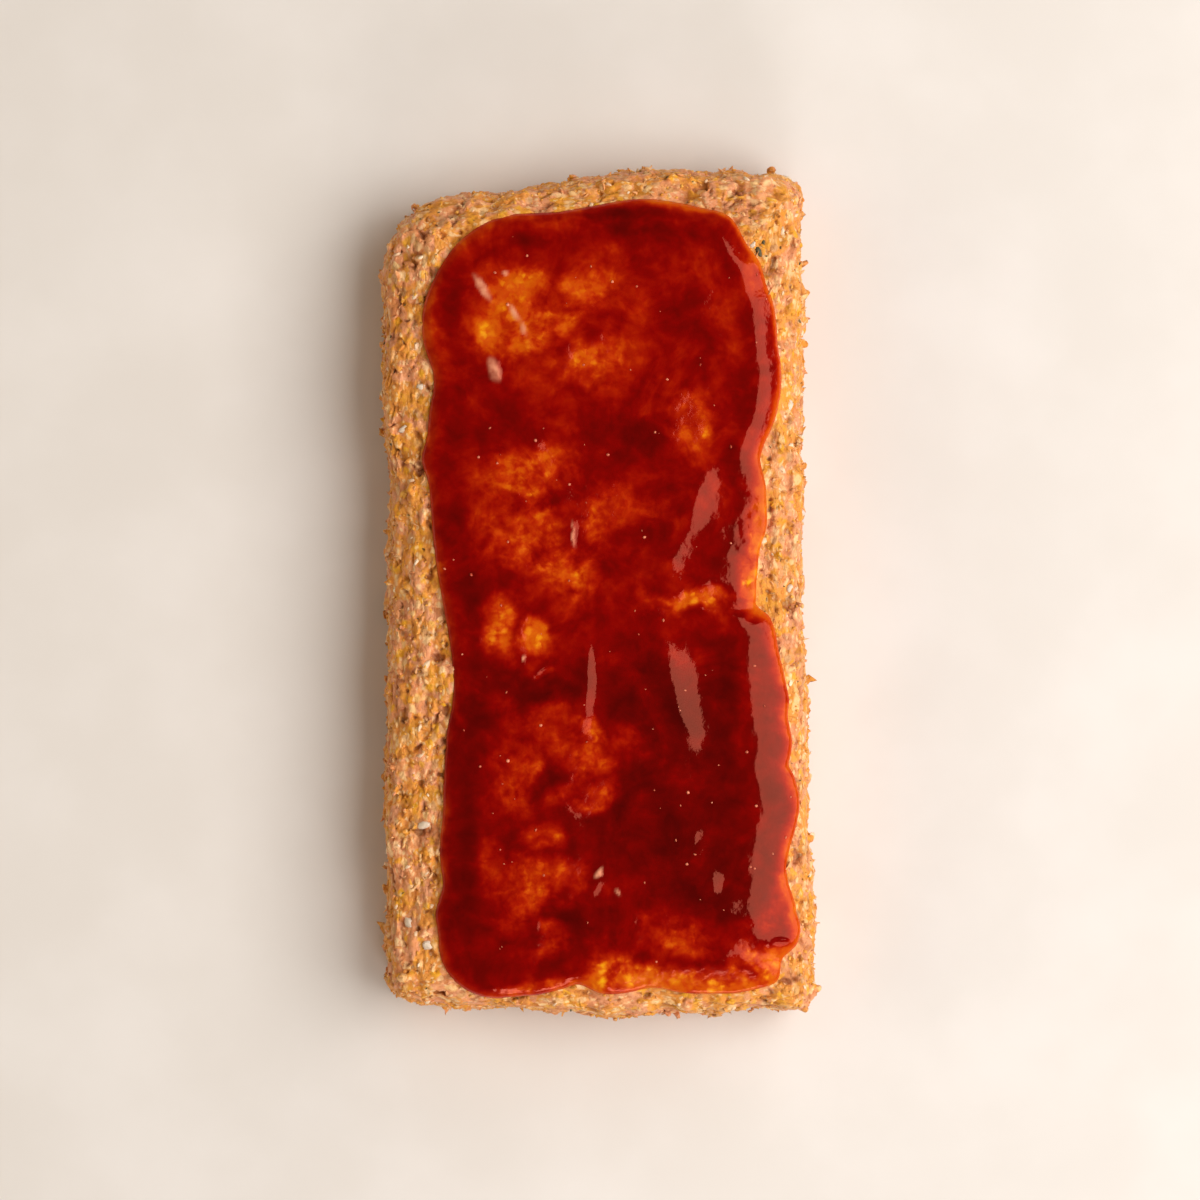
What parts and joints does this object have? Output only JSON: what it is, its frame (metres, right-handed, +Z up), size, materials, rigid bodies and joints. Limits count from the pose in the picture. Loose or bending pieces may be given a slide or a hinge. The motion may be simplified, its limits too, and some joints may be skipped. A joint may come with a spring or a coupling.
{
  "type": "glazed meatloaf",
  "caption": "Raw hand-shaped meatloaf, a long low block of seasoned mince with a flat base and round shoulders, spread with a layer of shiny red tomato glaze.",
  "frame": {"origin": "middle of the whole loaf's box at the level of its flat base", "axes": "+Y along the loaf to its rounder end, +X to the right seen from above with that end up, +Z up out of the glaze"},
  "size_m": [0.1472, 0.284, 0.0418],
  "materials": {
    "raw_meat": "raw minced meat with crumbs and onion, moist and uneven",
    "tomato_glaze": "thick wet tomato glaze, deep red and shiny, orange where it is thin"
  },
  "bodies": {
    "root": {"loaf": "raw_meat", "glaze": "tomato_glaze"}
  },
  "joints": []
}
